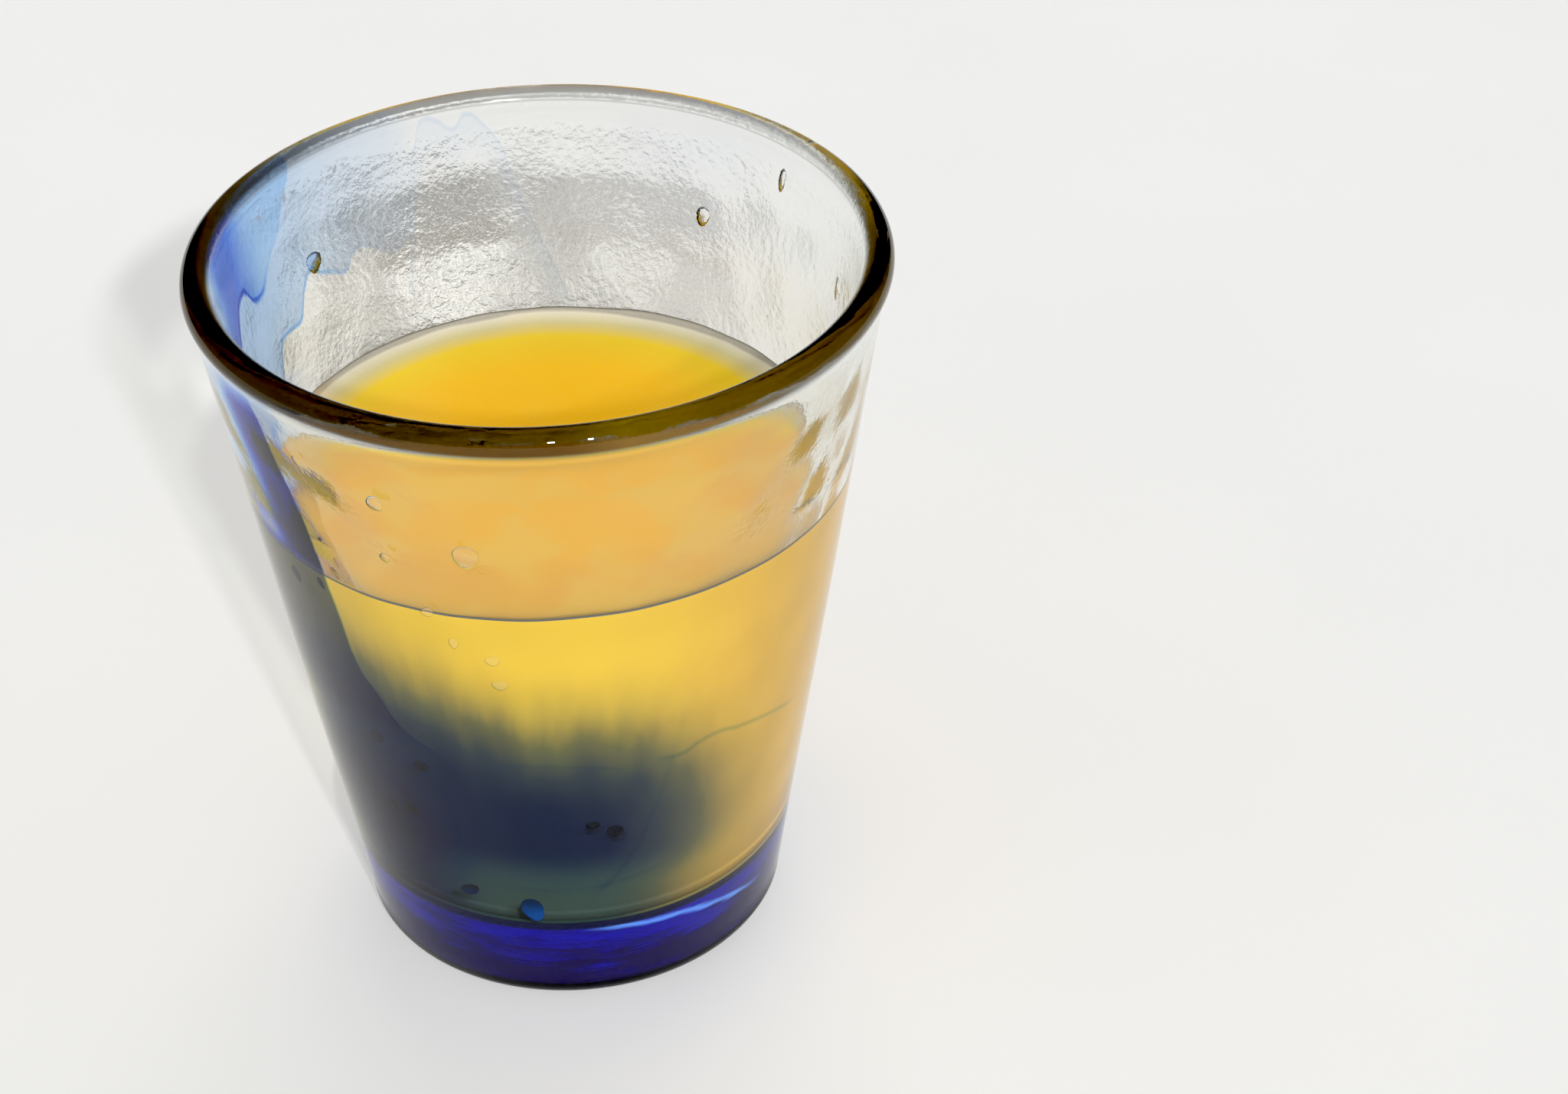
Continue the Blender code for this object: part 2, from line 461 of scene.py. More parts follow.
class Finish:
    """A material's node tree, and the one method that makes a node in it."""

    def __init__(self, name):
        self.material = bpy.data.materials.new(name)
        self.material.use_nodes = True
        self.tree = self.material.node_tree
        self.tree.nodes.clear()

    def node(self, kind, settings=None, sockets=None, output=0):
        made = self.tree.nodes.new("ShaderNode" + kind)
        for name, value in (settings or {}).items():
            if name == "stops":
                self.set_stops(made.color_ramp, value)
            elif name == "points":
                self.set_points(made.mapping, value)
            else:
                setattr(made, name, value)
        for name, value in (sockets or {}).items():
            self.plug(made.inputs[name], value)
        return Wire(self, made.outputs[output])

    def plug(self, socket, value):
        if isinstance(value, Wire):
            self.tree.links.new(value.socket, socket)
        else:
            socket.default_value = value

    def set_stops(self, ramp, stops):
        while len(ramp.elements) < len(stops):
            ramp.elements.new(0.5)
        for element, (place, colour) in zip(ramp.elements, stops):
            element.position = place
            element.color = (*colour, 1.0)

    def set_points(self, mapping, points):
        curve = mapping.curves[0]
        while len(curve.points) < len(points):
            curve.points.new(0.5, 0.5)
        for point, place in zip(curve.points, points):
            point.location = place
        mapping.update()

    def follow(self, value, points):
        """A smooth line through points, given as (value, result) in their own units, read at value."""
        low, high = points[0][0], points[-1][0]
        bottom = min(result for _, result in points)
        top = max(result for _, result in points)
        scaled = [((at - low) / (high - low), (result - bottom) / (top - bottom)) for at, result in points]
        read = self.node("FloatCurve", {"points": scaled}, {"Value": (value - low) / (high - low)})
        return read * (top - bottom) + bottom

    def noise(self, place, scale, detail=2.0, roughness=0.5):
        sockets = {"Vector": place, "Scale": scale, "Detail": detail, "Roughness": roughness}
        return self.node("TexNoise", None, sockets)

    def blend(self, share, first, second, how="MIX"):
        settings = {"data_type": "RGBA", "blend_type": how}
        return self.node("Mix", settings, {0: share, 6: first, 7: second}, output=2)

    def stretch(self, place, by):
        return self.node("VectorMath", {"operation": "MULTIPLY"}, {0: place, 1: by})

    def finish_with(self, surface, volume=None):
        output = self.tree.nodes.new("ShaderNodeOutputMaterial")
        self.plug(output.inputs["Surface"], surface)
        if volume:
            self.plug(output.inputs["Volume"], volume)
        print("finish", self.material.name, "has", len(self.tree.nodes), "nodes")
        return self.material


# %% [markdown]
# ## Where a point of the glass is
# Every swirl is placed by two numbers: the turn round the axis, in degrees from the tumbler's left
# side, positive towards the front, and the height in millimetres. They come from the object's own
# coordinates, so the pattern stays on the glass from whichever side it is seen.

# %% Turn, height, and a mask for the inner wall
MM = 1000.0


def places_on_glass(finish):
    place = finish.node("TexCoord", output="Object")
    parts = [finish.node("SeparateXYZ", None, {0: place}, output=i) for i in range(3)]
    x, y, z = parts
    turn = finish.node("Math", {"operation": "ARCTAN2"}, {0: -y, 1: -x}) * (180.0 / math.pi)
    radius = (x * x + y * y) ** 0.5
    middle_low = 0.5 * (outer_radius(0.0) + inner_radius(0.0))
    middle_high = 0.5 * (outer_radius(HEIGHT) + inner_radius(HEIGHT))
    middle = z * ((middle_high - middle_low) / HEIGHT) + middle_low
    inside = (radius - middle).rise(0.0004, -0.0004)
    return place, turn, z * MM, inside


# %% [markdown]
# ## Cobalt glass
# Cobalt is so strong a colour that a thin veil of it is sky blue, a few millimetres are ultramarine
# and the thickness of the foot is nearly black. So the swirls are painted as a density, and one
# ramp turns density into the colour that is left of white light.

# %% The colour that each density lets through
FULL_DENSITY = 6.0
COBALT_RAMP = (
    (0.0, (1.0, 1.0, 1.0)),
    (1.0 / FULL_DENSITY, (0.39, 0.63, 0.98)),
    (2.5 / FULL_DENSITY, (0.060, 0.21, 0.82)),
    (4.0 / FULL_DENSITY, (0.0167, 0.033, 0.50)),
    (1.0, (0.002, 0.002, 0.12)),
)


def cobalt_colour(finish, density):
    return finish.node("ValToRGB", {"stops": COBALT_RAMP}, {0: density / FULL_DENSITY})


# %% [markdown]
# ## The swirls
# Each swirl has one crisp edge, where the blue gather folded over the clear one, and fades away
# behind it. The edge is a smooth line through a few points, as height and turn, or turn and height.
# The numbers below are those degrees and millimetres, and densities of the cobalt.

# %% The swath on the left, seen from outside
LEFT_EDGE = (
    (14.0, 66.0), (44.0, 68.0), (46.0, 64.0), (49.0, 58.0), (53.0, 55.0), (57.0, 51.5),
    (64.0, 50.0), (72.0, 48.5), (80.0, 46.5), (86.0, 44.0), (92.0, 42.0), (99.5, 38.0),
)
SMOKE = 3.9  # density below the juice's edge
DEEP_BLUE = 4.4  # density above it, near the swath's edge
HAZE = 0.55  # density above it, further left
CORNER = 3.7  # density low on the left, where the swath meets the pool


def left_swath(finish, place, turn, height):
    ragged = (finish.noise(place, 180.0, 3.0) - 0.5) * 1.6
    past_edge = turn + ragged - finish.follow(height, LEFT_EDGE)
    smoky = finish.noise(finish.stretch(place, (1.0, 1.0, 0.5)), 90.0, 3.0) - 0.5
    low = SMOKE + smoky * 1.5
    near = past_edge.rise(-14.0, -6.0)
    high = near * (height.band(74.0, 9.0) * 1.6 + DEEP_BLUE) + HAZE
    strength = low * height.rise(73.0, 71.0) + high * height.rise(71.0, 73.0)
    ends = turn.rise(-30.0, 15.0) * height.rise(97.0, 91.0) * height.rise(43.0, 51.0)
    lower = turn.rise(0.0, 25.0) * turn.rise(78.0, 50.0) * height.rise(50.0, 30.0)
    corner = CORNER + smoky * 2.5 - height.rise(28.0, 18.0) * 1.6
    return past_edge.rise(0.5, -0.5) * strength * ends + lower * corner


# %% The pool of blue low in the front wall
POOL_TOP = (
    (40.0, 70.0), (60.0, 68.0), (68.0, 66.5), (75.0, 64.5), (90.0, 62.0), (110.0, 60.0),
    (118.0, 59.0), (126.0, 57.0), (140.0, 52.0),
)
POOL_STRENGTH = (
    (30.0, 1.0), (60.0, 1.0), (85.0, 1.0), (102.0, 0.96), (110.0, 0.87), (120.0, 0.70),
    (130.0, 0.47), (140.0, 0.25), (160.0, 0.0),
)


def front_pool(finish, place, turn, height):
    """1 where the pool is deepest, 0 outside it."""
    streaks = finish.noise(finish.stretch(place, (1.0, 1.0, 0.10)), 180.0, 4.0, 0.6)
    top = finish.follow(turn, POOL_TOP) + (streaks - 0.5) * 9.0
    dense = (top - height).rise(0.0, 29.0)
    thinner = 1.0 - height.rise(25.0, 18.0) * turn.rise(50.0, 75.0) * 0.38
    cloud = finish.noise(place, 60.0, 3.0) * 0.3 + 0.85
    return dense * thinner * cloud * finish.follow(turn, POOL_STRENGTH) * turn.rise(10.0, 40.0)


# %% Thin dark folds in the pool: points, width, density
LONG_FOLD = (
    (114.0, 43.5), (118.0, 43.3), (122.0, 44.2), (126.0, 44.6), (132.0, 43.7), (140.0, 42.5), (152.0, 40.3),
)
FOLDS = (
    (LONG_FOLD, 0.7, 0.9),
    (((80.0, 45.0), (90.0, 45.0), (100.0, 44.2), (107.0, 42.6)), 0.6, 0.5),
    (((98.0, 20.5), (104.0, 24.0), (109.0, 29.0), (113.0, 36.0), (116.0, 43.0)), 1.6, 0.6),
    (((75.0, 22.0), (90.0, 21.6), (105.0, 22.4), (120.0, 26.0)), 0.8, 0.4),
)


def front_folds(finish, turn, height):
    total = None
    for points, width, strength in FOLDS:
        first, last = points[0][0], points[-1][0]
        ends = turn.rise(first - 3.0, first + 3.0) * turn.rise(last + 4.0, last - 6.0)
        fold = (height - finish.follow(turn, points)).band(0.0, width) * ends * strength
        total = fold if total is None else total + fold
    return total


# %% The skin of the foot
def foot_skin(finish, place, turn, height):
    streaks = finish.noise(finish.stretch(place, (1.0, 1.0, 4.0)), 70.0, 4.0)
    return (streaks * 0.5 + height.band(14.2, 0.4) * 1.2) * height.rise(15.2, 14.4) * height.rise(0.8, 2.0)


# %% The veils on the far wall, seen through the mouth
VEIL_EDGE = (
    (-115.0, 105.0), (-37.0, 101.0), (-33.0, 97.0), (-30.0, 95.0), (-27.0, 91.5), (-23.0, 89.0),
    (-19.0, 87.3), (-15.0, 86.2), (-13.0, 86.4), (-10.0, 88.8), (-8.0, 88.6), (-4.0, 87.2),
    (0.0, 85.0), (10.0, 80.0),
)
SECOND_EDGE = (
    (-65.0, 96.0), (-61.0, 86.5), (-58.0, 82.5), (-54.0, 81.3), (-50.0, 82.5), (-47.0, 83.5), (-44.0, 83.0),
    (-42.0, 81.5), (-38.0, 82.3), (-35.0, 83.0), (-33.0, 83.8), (-30.0, 82.5), (-28.0, 80.5), (-26.0, 79.0),
    (-22.0, 79.0), (-19.0, 78.5), (-15.0, 75.0), (-8.0, 70.0), (0.0, 64.0),
)
KERCHIEF_EDGE = (
    (-100.0, 60.0), (-81.5, 87.0), (-79.0, 93.0), (-76.0, 96.0), (-73.0, 97.7), (-70.0, 96.0), (-67.0, 97.5),
    (-64.5, 98.0), (-62.0, 94.5), (-60.0, 90.0), (-55.0, 60.0),
)


def far_veils(finish, place, turn, height):
    wander = (finish.noise(place, 120.0, 2.0) - 0.5) * 1.5
    above = height + wander - finish.follow(turn, VEIL_EDGE)
    deeper = (turn + (finish.noise(place, 60.0, 2.0) - 0.5) * 14.0).rise(-22.0, -6.0)
    seam = above.band(0.3, 0.7) * turn.rise(-24.0, -12.0) * 1.6
    veil = above.rise(-0.3, 0.5) * (0.95 + deeper * 2.0) + seam
    second = height + wander - finish.follow(turn, SECOND_EDGE)
    fade = turn.rise(-60.0, -12.0) * 0.55 + 0.22
    second_seam = second.band(0.2, 0.6) * turn.rise(-60.0, -20.0) * 0.8
    wash = second.rise(-0.2, 0.4) * fade * turn.rise(-64.0, -56.0) + second_seam
    under = finish.follow(turn, KERCHIEF_EDGE) - height
    kerchief = under.rise(-0.2, 0.3) * under.rise(9.0, 2.0) * 0.10 + under.band(0.3, 0.6) * 0.16
    return (veil + wash * above.rise(0.2, -0.2) + kerchief) * turn.rise(14.0, -2.0)


# %% [markdown]
# ## The hammered, swirled glass
# Smooth soda glass bends light by 1.5 and takes a little of it on the way, which is why its lip,
# where the light runs along the wall, looks dark. That dark lip is painted shade. The paint goes into
# Base Color.

# %% The paint on the glass: swirls, pits and the painted shade of the lip
LIP_SHADE = (0.030, 0.022, 0.016, 1.0)
LIP_LINE = (0.20, 0.19, 0.18, 1.0)
PIT_GREY = (0.16, 0.15, 0.15, 1.0)
POOL_DENSITY = 1.5


def lip_colour(finish, turn, height, inside, colour):
    """The lip is painted dark at the left, the front and the right, as painted shade, and clear at the back.
    """
    top = (height - inside * 2.2).rise(95.6, 97.0)
    left = turn.rise(-62.0, -20.0) * turn.rise(165.0, 95.0)
    right = (turn.rise(60.0, 110.0) + turn.rise(-145.0, -178.0)) * 0.94
    dark = finish.node("Math", {"operation": "MAXIMUM"}, {0: left, 1: right}) * top
    colour = finish.blend(height.band(98.3, 0.2) * inside * 0.6, colour, LIP_LINE)
    return finish.blend(dark, colour, LIP_SHADE)


def pitted(finish, place, turn, height, inside, colour):
    """A scatter of small grey pits in a level line below the lip."""
    line = height.band(95.3, 1.3) * turn.rise(-52.0, -46.0) * turn.rise(-12.0, -20.0)
    pits = finish.noise(finish.stretch(place, (1.0, 1.0, 1.6)), 900.0, 2.0).rise(0.52, 0.60) * line
    return finish.blend(pits * inside * 0.7, colour, PIT_GREY)


def glass_paint(finish, place, turn, height, inside):
    pool = front_pool(finish, place, turn, height) * POOL_DENSITY
    outside_paint = left_swath(finish, place, turn, height) + pool
    outside_paint = outside_paint * height.rise(13.6, 14.6) + front_folds(finish, turn, height)
    outside_paint = outside_paint + foot_skin(finish, place, turn, height)
    inside_paint = far_veils(finish, place, turn, height)
    density = outside_paint * (1.0 - inside) + inside_paint * inside
    # A surface tints what crosses it by the square root of its Base Color. Over the juice light
    # crosses the paint twice, in and out again. Above it, it crosses once, so the colour is squared.
    once = cobalt_colour(finish, density)
    twice = finish.blend(1.0, once, once, "MULTIPLY")
    crossed_once = height.rise(70.6, 71.6)
    colour = finish.blend(crossed_once, once, twice)
    colour = pitted(finish, place, turn, height, inside, colour)
    return lip_colour(finish, turn, height, inside, colour)


# %% [markdown]
# Lamps and soft light reach the juice and the floor through Transparent shaders, which stand in for
# the glass on shadow rays and diffuse rays: real caustics would take minutes to clear up. The glass
# is mixed with itself, once with a bright stand-in and once with a black one, and the mix says how
# much light passes. Less does where the glass is met edge on and high in the thick far wall, and
# more or less where the hollows gather the light or spread it.

# %% How much light the stand-in lets through
BRIGHTEST = 2.5  # the most that the hollows gather in one place


def light_passed(finish, place, height, inside, far_side):
    edge_on = finish.node("LayerWeight", None, {"Blend": 0.5}, output="Facing")
    lens = finish.noise(finish.stretch(place, (1.0, 1.0, 0.4)), 72.0, 2.0) - 0.5
    gathered = lens * height.rise(69.0, 73.0) * far_side * inside * 5.0 + 1.0
    gathered = gathered.maths("MAXIMUM", gathered, 0.2)
    thick = (height + lens * 16.0).rise(82.5, 86.5) * far_side * inside * 0.95
    front_lip = height.rise(95.0, 96.6) * (1.0 - far_side) * 0.12
    return (1.0 - edge_on ** 3.0 * 0.45) * (1.0 - thick) * (1.0 - front_lip) * gathered


def with_stand_in(finish, glass, grey):
    straight = finish.node("BsdfTransparent", None, {"Color": (grey, grey, grey, 1.0)})
    on_shadow = finish.node("LightPath", output="Is Shadow Ray")
    on_bounce = finish.node("LightPath", output="Is Diffuse Ray")
    surface = finish.node("MixShader", None, {0: on_shadow, 1: glass, 2: straight})
    return finish.node("MixShader", None, {0: on_bounce, 1: surface, 2: straight})


# %% The glass
GLASS_IOR = 1.5
GLASS_ABSORPTION = (0.80, 0.84, 0.74, 1.0)
GLASS_DENSITY = 40.0
PEEL_SCALE = 900.0
PEEL_HEIGHT = 0.00014


def glass_finish():
    finish = Finish("swirled_glass")
    place, turn, height, inside = places_on_glass(finish)
    colour = glass_paint(finish, place, turn, height, inside)
    far_side = turn.rise(10.0, -10.0) + turn.rise(165.0, 179.0)
    peel = finish.noise(place, PEEL_SCALE, 3.0, 0.6) * inside
    peel = peel * height.rise(50.0, 60.0) * (far_side * 0.8 + 0.2)
    bump = finish.node("Bump", None, {"Strength": 1.0, "Distance": PEEL_HEIGHT, "Height": peel})
    sockets = {"Base Color": colour, "Roughness": 0.0, "IOR": GLASS_IOR, "Normal": bump}
    sockets["Transmission Weight"] = 1.0
    glass = finish.node("BsdfPrincipled", None, sockets)
    bright = with_stand_in(finish, glass, BRIGHTEST)
    black = with_stand_in(finish, glass, 0.0)
    share = light_passed(finish, place, height, inside, far_side) / BRIGHTEST
    surface = finish.node("MixShader", None, {0: 1.0 - share, 1: bright, 2: black})
    sockets = {"Color": GLASS_ABSORPTION, "Density": GLASS_DENSITY}
    volume = finish.node("VolumeAbsorption", None, sockets)
    return finish.finish_with(surface, volume)


tumbler.data.materials.clear()
tumbler.data.materials.append(glass_finish())

# %% [markdown]
# ## The cobalt of the core
# Ultramarine above, violet below, drawn out into level streaks by the turning of the rod, with one
# pale sky-blue line on the right that is a painted highlight.

# %% The core's material
ULTRAMARINE = (0.007, 0.004, 0.24, 1.0)
VIOLET = (0.007, 0.003, 0.045, 1.0)
HIGHLIGHT_SKY = (0.12, 0.30, 0.85, 1.0)
HIGHLIGHT_LINE = ((96.0, 13.3), (108.0, 12.9), (120.0, 12.3), (130.0, 11.3), (145.0, 9.3), (152.0, 8.6))
TOP_RIM = (0.006, 0.006, 0.03, 1.0)
DIM_TEAL = (0.045, 0.080, 0.060, 1.0)
OLIVE = (0.30, 0.25, 0.075, 1.0)
DIM_GREY = (0.05, 0.045, 0.045, 1.0)
BUBBLE_TEAL = (0.001, 0.012, 0.035, 1.0)
BUBBLE_BLUE = (0.001, 0.050, 0.19, 1.0)
BUBBLE_BLACK = (0.006, 0.006, 0.010, 1.0)


def core_finish():
    finish = Finish("cobalt_core")
    place, turn, height, dished = places_on_glass(finish)
    streaks = finish.noise(finish.stretch(place, (1.0, 1.0, 5.0)), 55.0, 4.0, 0.6)
    fine = finish.noise(finish.stretch(place, (1.0, 1.0, 7.0)), 160.0, 3.0, 0.6)
    bright = height.rise(4.0, 12.0) * 0.8 + (streaks - 0.5) * 2.2 + (fine - 0.5) * 1.4 - 0.05
    colour = finish.blend(bright.rise(0.0, 1.0), VIOLET, ULTRAMARINE)
    # The pale line on the right is a painted highlight of caustic light.
    ends = turn.rise(94.0, 106.0) * turn.rise(154.0, 140.0)
    line = (height + (fine - 0.5) * 1.2 - finish.follow(turn, HIGHLIGHT_LINE)).band(0.0, 0.8) * ends
    colour = finish.blend(line * 0.75, colour, HIGHLIGHT_SKY)
    colour = finish.blend(height.rise(13.1, 13.6), colour, TOP_RIM)
    # The dished top under the floor is painted with light from the juice: olive, dim teal and dim grey by the
    # turn.
    olive = turn.rise(100.0, 128.0) + turn.rise(0.0, -25.0)
    painted_juice_light = finish.blend(olive, DIM_TEAL, OLIVE)
    painted_juice_light = finish.blend(turn.rise(62.0, 40.0) * turn.rise(-25.0, 0.0), painted_juice_light, DIM_GREY)
    colour = finish.blend(dished * height.rise(11.0, 11.6), colour, painted_juice_light)
    sockets = {"Base Color": colour, "Roughness": 0.5, "IOR": 1.5, "Specular IOR Level": 0.0}
    return finish.finish_with(finish.node("BsdfPrincipled", None, sockets))


def blue_bubble_finish():
    finish = Finish("blue_bubbles")
    _, _, height, _ = places_on_glass(finish)
    # The bubbles are painted: black as shade, teal and blue low in the wall as painted light.
    blue = finish.blend(height.rise(18.6, 15.6), BUBBLE_TEAL, BUBBLE_BLUE)
    colour = finish.blend(height.rise(19.6, 19.0), BUBBLE_BLACK, blue)
    sockets = {"Base Color": colour, "Roughness": 0.3, "IOR": 1.5, "Specular IOR Level": 0.0}
    return finish.finish_with(finish.node("BsdfPrincipled", None, sockets))


core.data.materials.clear()
core.data.materials.append(core_finish())
blue_bubbles.data.materials.append(blue_bubble_finish())

# %% [markdown]
# ## Orange juice
# Fresh juice is a cloud of fine pulp: yellow where it is thin and deeper orange where it is deep. At
# the far edge of its surface, by the meniscus, it is painted grey: painted shade where light leaks out
# of the thin juice into the glass. The surface is wet and mirrors the light. The side lies against
# glass, whose bending of light is nearly its own, so it has no gloss there. Two materials share the
# mesh: one above, one below.

# %% The juice's surface and side
CONTACT_SHADE = (0.30, 0.29, 0.27)
MENISCUS_SHADE = (0.55, 0.52, 0.42)
MENISCUS_YELLOW = (0.55, 0.49, 0.26)
RIM_YELLOW = (0.84, 0.58, 0.040)
MIDDLE_ORANGE = (0.96, 0.53, 0.028)
FROM_EDGE = (
    (0.0, CONTACT_SHADE),
    (0.012, CONTACT_SHADE),
    (0.03, MENISCUS_SHADE),
    (0.12, MENISCUS_YELLOW),
    (0.30, RIM_YELLOW),
    (0.8, MIDDLE_ORANGE),
    (1.0, MIDDLE_ORANGE),
)
FROM_NEAR_EDGE = (
    (0.0, (0.80, 0.47, 0.055)),
    (0.4, (0.84, 0.42, 0.042)),
    (1.0, (0.94, 0.48, 0.030)),
)
RAMP_LENGTH = 16.0  # millimetres from the edge to the last colour
CAUSTIC_YELLOW = (0.86, 0.56, 0.09, 1.0)
PULP = (0.98, 0.76, 0.30, 1.0)


def juice_surface():
    finish = Finish("juice_surface")
    place = finish.node("TexCoord", output="Object")
    x = finish.node("SeparateXYZ", None, {0: place}, output=0)
    y = finish.node("SeparateXYZ", None, {0: place}, output=1)
    edge = inner_radius(CONTACT) * MM
    swirl = (finish.noise(place, 45.0, 3.0) - 0.5) * 1.4
    from_edge = edge - ((x * x + y * y) ** 0.5) * MM + swirl
    colour = finish.node("ValToRGB", {"stops": FROM_EDGE}, {0: from_edge / RAMP_LENGTH})
    near = finish.node("ValToRGB", {"stops": FROM_NEAR_EDGE}, {0: from_edge / RAMP_LENGTH})
    # Lighter yellow patches on the near side are painted light: caustics through the hollows of the front
    # wall.
    caustic_patches = finish.noise(place, 90.0, 2.0).rise(0.45, 0.62) * 0.5
    near = finish.blend(caustic_patches, near, CAUSTIC_YELLOW)
    # The far side alone gets the painted grey shade at its edge.
    colour = finish.blend(y.rise(0.0, 0.02), near, colour)
    grain = finish.noise(place, 2500.0, 2.0)
    colour = finish.blend(grain * 0.14, colour, PULP)
    sockets = {"Base Color": colour, "Roughness": 0.12, "IOR": 1.34}
    return finish.finish_with(finish.node("BsdfPrincipled", None, sockets))


# Behind the cobalt pool the side is painted darker, through olive to navy: painted shade, with painted blue
# light at the deepest.
SHADE_UNDER_COBALT = (
    (0.0, (0.66, 0.435, 0.053)),
    (0.25, (0.42, 0.290, 0.055)),
    (0.5, (0.15, 0.130, 0.055)),
    (0.75, (0.052, 0.053, 0.052)),
    (1.0, (0.014, 0.018, 0.040)),
)
DEEPER = (0.96, 0.78, 1.15, 1.0)
PAINTED_BACK_LIGHT = (1.20, 1.04, 1.0, 1.0)
TEAL = (0.052, 0.078, 0.060, 1.0)
EDGE_SHADE = (0.12, 0.12, 0.11, 1.0)


def juice_side():
    finish = Finish("juice_side")
    place, turn, height, _ = places_on_glass(finish)
    pool = front_pool(finish, place, turn, height)
    colour = finish.node("ValToRGB", {"stops": SHADE_UNDER_COBALT}, {0: pool})
    cloud = finish.noise(place, 60.0, 3.0)
    right = (turn + (cloud - 0.5) * 40.0).rise(98.0, 140.0) * turn.rise(176.0, 145.0) * 0.55
    colour = finish.blend(right, colour, finish.blend(1.0, colour, DEEPER, "MULTIPLY"))
    # The back of the side is painted lighter and warmer: painted light where the lamps reach it less.
    back = turn.rise(5.0, -25.0) + turn.rise(145.0, 176.0)
    colour = finish.blend(back, colour, finish.blend(1.0, colour, PAINTED_BACK_LIGHT, "MULTIPLY"))
    # Low at the front the side is painted teal: painted shade and painted blue light under the cobalt.
    low = height.rise(27.0, 19.0) * turn.rise(45.0, 70.0) * turn.rise(126.0, 102.0) * 0.85
    colour = finish.blend(low, colour, TEAL)
    # A thin grey line at the top edge, where the juice meets the glass, is painted shade.
    colour = finish.blend(height.rise(68.95, 69.05), colour, EDGE_SHADE)
    sockets = {"Base Color": colour, "Roughness": 0.6, "IOR": 1.34, "Specular IOR Level": 0.0}
    return finish.finish_with(finish.node("BsdfPrincipled", None, sockets))


juice_fill.data.materials.clear()
juice_fill.data.materials.append(juice_surface())
juice_fill.data.materials.append(juice_side())
for face in juice_fill.data.polygons:
    face.material_index = 0 if face.normal.z > 0.35 else 1

# %% [markdown]
# ## The pieces on the body
# The fine pieces ride on the one body and stand for the two plain solids.

# %% Riding and replacing
pieces = (
    (tumbler, "glass", "glass"),
    (core, "glass", "glass"),
    (blue_bubbles, "glass", "glass"),
    (juice_fill, "juice", "juice"),
)
for piece, node, slot in pieces:
    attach(piece, "root")
    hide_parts(node)

# %% [markdown]
# ## Floor, light and camera
# A white paper floor, a dome of soft light, two low lamps on the camera's side, whose shadows fall
# behind the glass, and a wide weak lamp from behind. The camera's place was found by fitting it to
# the tumbler's outline in the photo.

# %% The floor
FLOOR_DROP = 0.0002
bpy.ops.mesh.primitive_plane_add(size=20.0, location=(0.0, 0.0, -FLOOR_DROP))
floor = bpy.context.object
floor.name = "paper_floor"


def paper():
    finish = Finish("white_paper")
    place = finish.node("TexCoord", output="Object")
    mottle = finish.noise(place, 12.0, 4.0)
    colour = finish.blend(mottle, (0.80, 0.80, 0.79, 1.0), (0.84, 0.84, 0.83, 1.0))
    return finish.finish_with(finish.node("BsdfPrincipled", None, {"Base Color": colour, "Roughness": 0.9}))


floor.data.materials.append(paper())

# %% The camera
PHOTO_WIDTH = 2048.0
FOCAL_PIXELS = 4281.0
CAMERA_PLACE = Vector((0.02976, -0.35201, 0.30106))
CAMERA_PITCH = 0.6137
CAMERA_ROLL = -0.0153


def make_camera():
    data = bpy.data.cameras.new("camera")
    data.sensor_width = 36.0
    data.sensor_fit = "HORIZONTAL"
    data.lens = FOCAL_PIXELS / PHOTO_WIDTH * data.sensor_width
    data.clip_start = 0.01
    camera = bpy.data.objects.new("camera", data)
    bpy.context.scene.collection.objects.link(camera)
    forward = Vector((0.0, math.cos(CAMERA_PITCH), -math.sin(CAMERA_PITCH)))
    level = Vector((1.0, 0.0, 0.0))
    steep = level.cross(forward)
    right = math.cos(CAMERA_ROLL) * level + math.sin(CAMERA_ROLL) * steep
    up = math.cos(CAMERA_ROLL) * steep - math.sin(CAMERA_ROLL) * level
    turn = Matrix((right, up, -forward)).transposed().to_4x4()
    camera.matrix_world = Matrix.Translation(CAMERA_PLACE) @ turn
    return camera


bpy.context.scene.camera = make_camera()
print("the lens is", round(bpy.context.scene.camera.data.lens, 1), "mm")

# %% The lamps and the dome
KEY_LAMPS = ((-72.5, 1.40), (-85.0, 2.45))  # azimuth in degrees and strength of each
LAMP_ELEVATION = math.radians(31.5)
LAMP_WIDTH = math.radians(1.8)
FILL_AZIMUTH = math.radians(80.0)
FILL_ELEVATION = math.radians(22.0)
FILL_WIDTH = math.radians(60.0)
FILL_STRENGTH = 1.15
DOME_BRIGHT = 0.34
DOME_DARK = 0.18


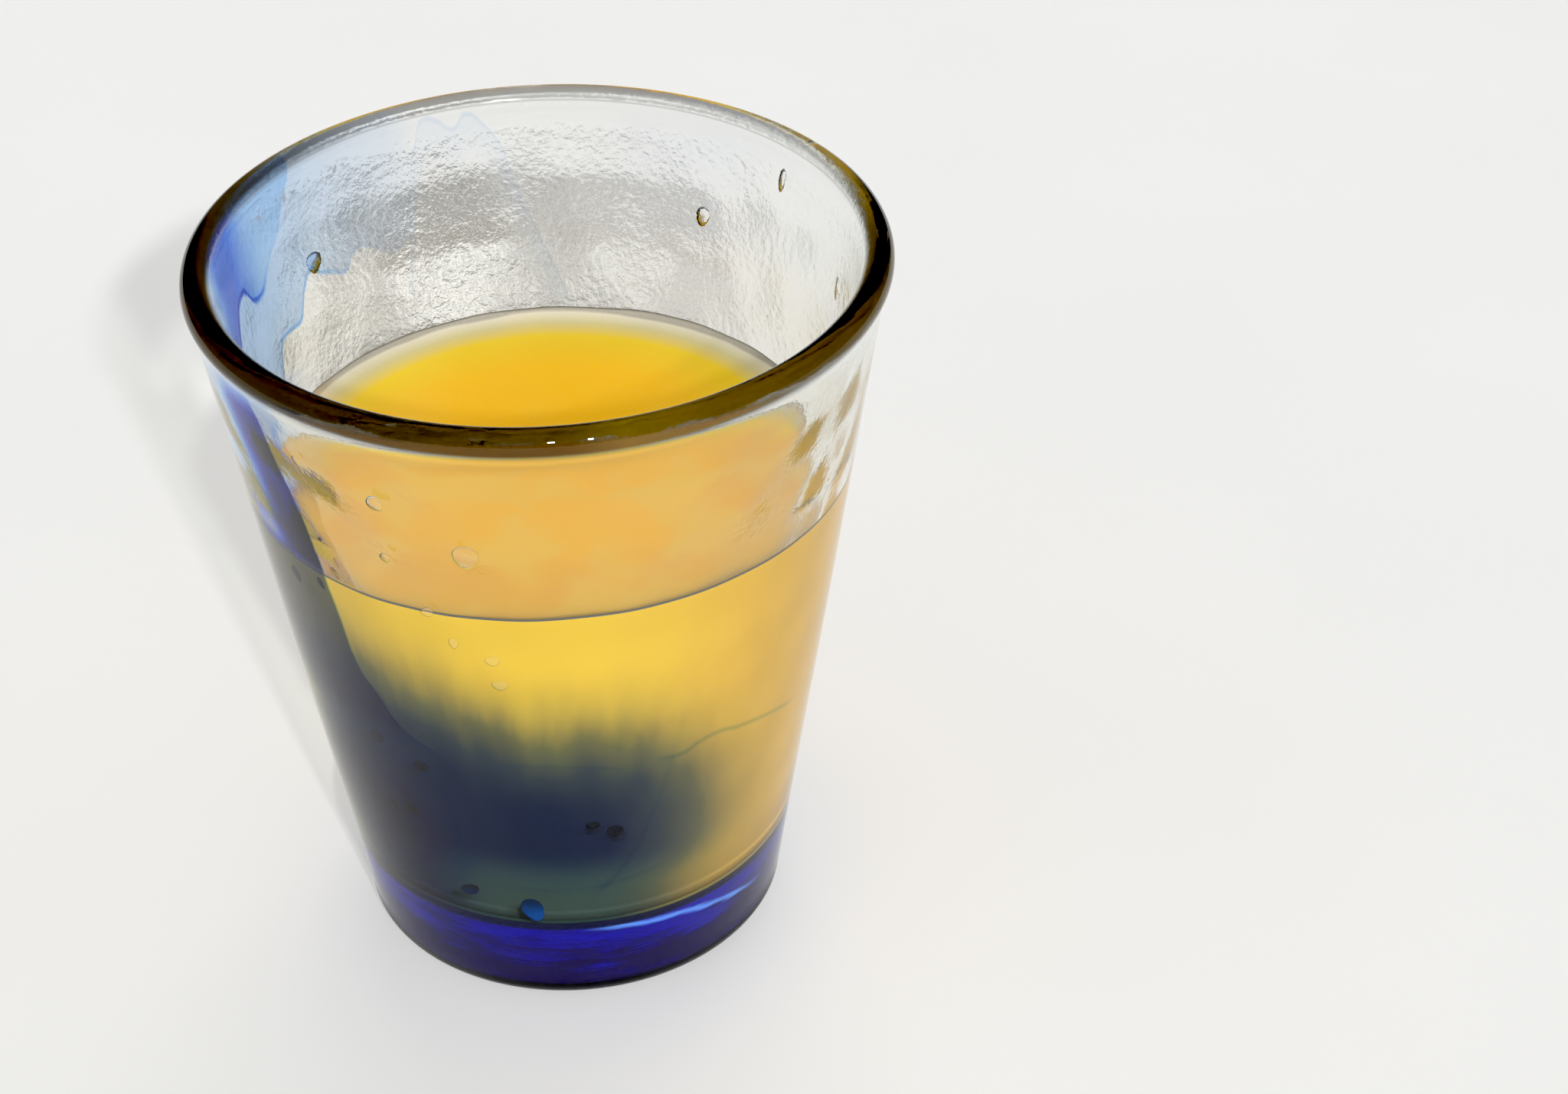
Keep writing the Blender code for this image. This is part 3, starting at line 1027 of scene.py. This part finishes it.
def make_lamp(name, azimuth, elevation, width, strength):
    """A lamp so far away that its light falls off nowhere, seen as a disc of a given width."""
    data = bpy.data.lights.new(name, "SUN")
    data.angle = width
    data.energy = strength
    lamp = bpy.data.objects.new(name, data)
    bpy.context.scene.collection.objects.link(lamp)
    flat = math.cos(elevation)
    way = Vector((flat * math.cos(azimuth), flat * math.sin(azimuth), math.sin(elevation)))
    lamp.location = way
    lamp.rotation_euler = way.to_track_quat("Z", "Y").to_euler()
    return lamp


class Dome(Finish):
    """The world's node tree, written in the same way as a material's."""

    def __init__(self, name):
        self.material = bpy.data.worlds.new(name)
        self.material.use_nodes = True
        self.tree = self.material.node_tree
        self.tree.nodes.clear()

    def light_with(self, colour, strength):
        background = self.node("Background", None, {"Color": colour, "Strength": strength})
        output = self.tree.nodes.new("ShaderNodeOutputWorld")
        self.plug(output.inputs["Surface"], background)
        return self.material


def make_dome():
    """White behind the camera and dim beyond the glass, which leaves the lip and the juice dark and clear."""
    dome = Dome("dome")
    way = dome.node("TexCoord", output="Generated")
    back = dome.node("SeparateXYZ", None, {0: way}, output=1)
    strength = back.rise(0.60, -0.05) * (DOME_BRIGHT - DOME_DARK) + DOME_DARK
    bpy.context.scene.world = dome.light_with((1.0, 0.995, 0.985, 1.0), strength)


for number, (azimuth, strength) in enumerate(KEY_LAMPS):
    make_lamp("key_" + str(number), math.radians(azimuth), LAMP_ELEVATION, LAMP_WIDTH, strength)
fill = make_lamp("fill", FILL_AZIMUTH, FILL_ELEVATION, FILL_WIDTH, FILL_STRENGTH)
fill.visible_glossy = False
fill.visible_transmission = False
make_dome()

# %% [markdown]
# ## How the picture is developed
# The photo is bright and its colours are clear, so the picture is shown as it is measured, without a
# film curve. A small black level takes off the thin veil that reflections lay over the dark blues.
# Glass needs long paths of light: more bounces than Blender gives by itself.

# %% View and light paths
scene = bpy.context.scene
scene.view_settings.view_transform = "Standard"
scene.view_settings.use_curve_mapping = True
scene.view_settings.curve_mapping.black_level = (0.035, 0.035, 0.035)
scene.view_settings.curve_mapping.update()
scene.cycles.max_bounces = 14
scene.cycles.transmission_bounces = 12
scene.cycles.glossy_bounces = 10
scene.cycles.transparent_max_bounces = 16
scene.cycles.caustics_refractive = False
scene.cycles.caustics_reflective = False
